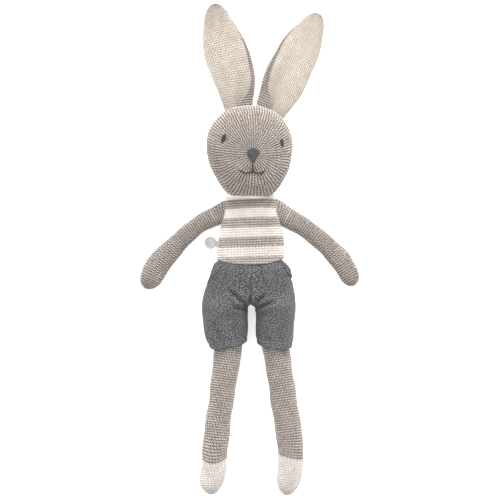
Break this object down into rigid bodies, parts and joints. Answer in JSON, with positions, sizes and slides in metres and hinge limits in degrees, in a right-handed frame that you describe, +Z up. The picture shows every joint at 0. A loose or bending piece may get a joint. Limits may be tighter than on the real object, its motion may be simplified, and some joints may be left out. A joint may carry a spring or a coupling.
{
  "type": "stuffed bunny rabbit",
  "caption": "Knitted rabbit doll lying on its back, long flat ears, striped knit top and woven grey shorts, soft filling, limp sewn limbs.",
  "frame": {"origin": "on the table under the middle of the doll as it lies on its back, at the centre of its bounding box", "axes": "+Z up out of the face, +Y from the toes towards the ears, +X towards the doll's own left hand; node names call the -X side left, as seen from above"},
  "size_m": [0.1787, 0.3984, 0.0565],
  "materials": {
    "taupe_knit": "soft machine-knitted yarn, fine stocking stitch",
    "cream_knit": "soft machine-knitted yarn, fine stocking stitch",
    "striped_knit": "cream and taupe knitted stripes, fine stocking stitch",
    "chambray": "woven cotton chambray, pale flecks on dark grey",
    "filling": "loose polyester fibre",
    "pale_thread": "pale grey sewing thread",
    "cream_thread": "cream sewing thread",
    "slate_thread": "slate embroidery thread, satin stitch",
    "bark_thread": "dark brown embroidery thread",
    "clear_plastic": "thin clear plastic"
  },
  "bodies": {
    "torso": {"torso_knit": "striped_knit", "torso_stuffing": "filling", "neck_band": "striped_knit", "rolled_hem": "taupe_knit", "shorts_seat": "chambray", "centre_seam": "pale_thread", "left_pocket_stitching": "pale_thread", "right_pocket_stitching": "pale_thread", "left_hip_knot": "cream_thread", "right_hip_knot": "cream_thread", "tag_strap": "clear_plastic"},
    "neck": {"neck_knot": "cream_thread"},
    "head": {"head_knit": "taupe_knit", "head_stuffing": "filling", "left_eye": "bark_thread", "right_eye": "bark_thread", "nose": "slate_thread", "mouth": "slate_thread", "left_ear_tuck": "taupe_knit", "right_ear_tuck": "taupe_knit"},
    "left_ear": {"left_ear_front": "cream_knit", "left_ear_back": "taupe_knit"},
    "right_ear": {"right_ear_front": "cream_knit", "right_ear_back": "taupe_knit"},
    "left_shoulder": {"left_shoulder_knot": "cream_thread"},
    "left_arm": {"left_arm_knit": "taupe_knit", "left_arm_stuffing": "filling"},
    "right_shoulder": {"right_shoulder_knot": "cream_thread"},
    "right_arm": {"right_arm_knit": "taupe_knit", "right_arm_stuffing": "filling"},
    "left_leg": {"left_leg_knit": "taupe_knit", "left_foot_knit": "cream_knit", "left_leg_stuffing": "filling", "left_shorts_leg": "chambray", "left_shorts_hem": "chambray", "left_hem_stitching": "pale_thread"},
    "right_leg": {"right_leg_knit": "taupe_knit", "right_foot_knit": "cream_knit", "right_leg_stuffing": "filling", "right_shorts_leg": "chambray", "right_shorts_hem": "chambray", "right_hem_stitching": "pale_thread"},
    "tag": {"tag_disc": "clear_plastic"}
  },
  "joints": [
    {"name": "neck_tilt", "type": "hinge", "parent": "torso", "child": "neck", "pos_m": [0, 0.0436, 0.027], "axis": [0, 0, 1], "range_deg": [-12, 12]},
    {"name": "neck_nod", "type": "hinge", "parent": "neck", "child": "head", "pos_m": [0, 0.0436, 0.027], "axis": [1, 0, 0], "range_deg": [0, 35]},
    {"name": "left_ear_fold", "type": "hinge", "parent": "head", "child": "left_ear", "pos_m": [-0.0105, 0.1186, 0.0026], "axis": [0.9945, 0.1045, 0], "range_deg": [0, 75]},
    {"name": "right_ear_fold", "type": "hinge", "parent": "head", "child": "right_ear", "pos_m": [0.018, 0.1176, 0.0026], "axis": [0.9135, -0.4067, 0], "range_deg": [0, 75]},
    {"name": "left_arm_raise", "type": "hinge", "parent": "torso", "child": "left_shoulder", "pos_m": [-0.0312, 0.029, 0.016], "axis": [0, 0, -1], "range_deg": [-25, 85]},
    {"name": "left_arm_swing", "type": "hinge", "parent": "left_shoulder", "child": "left_arm", "pos_m": [-0.0312, 0.029, 0.016], "axis": [-0.7466, 0.6652, 0], "range_deg": [0, 100]},
    {"name": "right_arm_raise", "type": "hinge", "parent": "torso", "child": "right_shoulder", "pos_m": [0.0326, 0.029, 0.016], "axis": [0, 0, 1], "range_deg": [-25, 85]},
    {"name": "right_arm_swing", "type": "hinge", "parent": "right_shoulder", "child": "right_arm", "pos_m": [0.0326, 0.029, 0.016], "axis": [-0.7373, -0.6756, 0], "range_deg": [0, 100]},
    {"name": "left_hip_swing", "type": "hinge", "parent": "torso", "child": "left_leg", "pos_m": [-0.0198, -0.042, 0.0172], "axis": [-1, 0, 0], "range_deg": [0, 90]},
    {"name": "right_hip_swing", "type": "hinge", "parent": "torso", "child": "right_leg", "pos_m": [0.0206, -0.042, 0.0172], "axis": [-1, 0, 0], "range_deg": [0, 90]},
    {"name": "tag_flap", "type": "hinge", "parent": "torso", "child": "tag", "pos_m": [-0.0266, 0.0064, 0.0009], "axis": [0, 1, 0], "range_deg": [0, 60]}
  ]
}
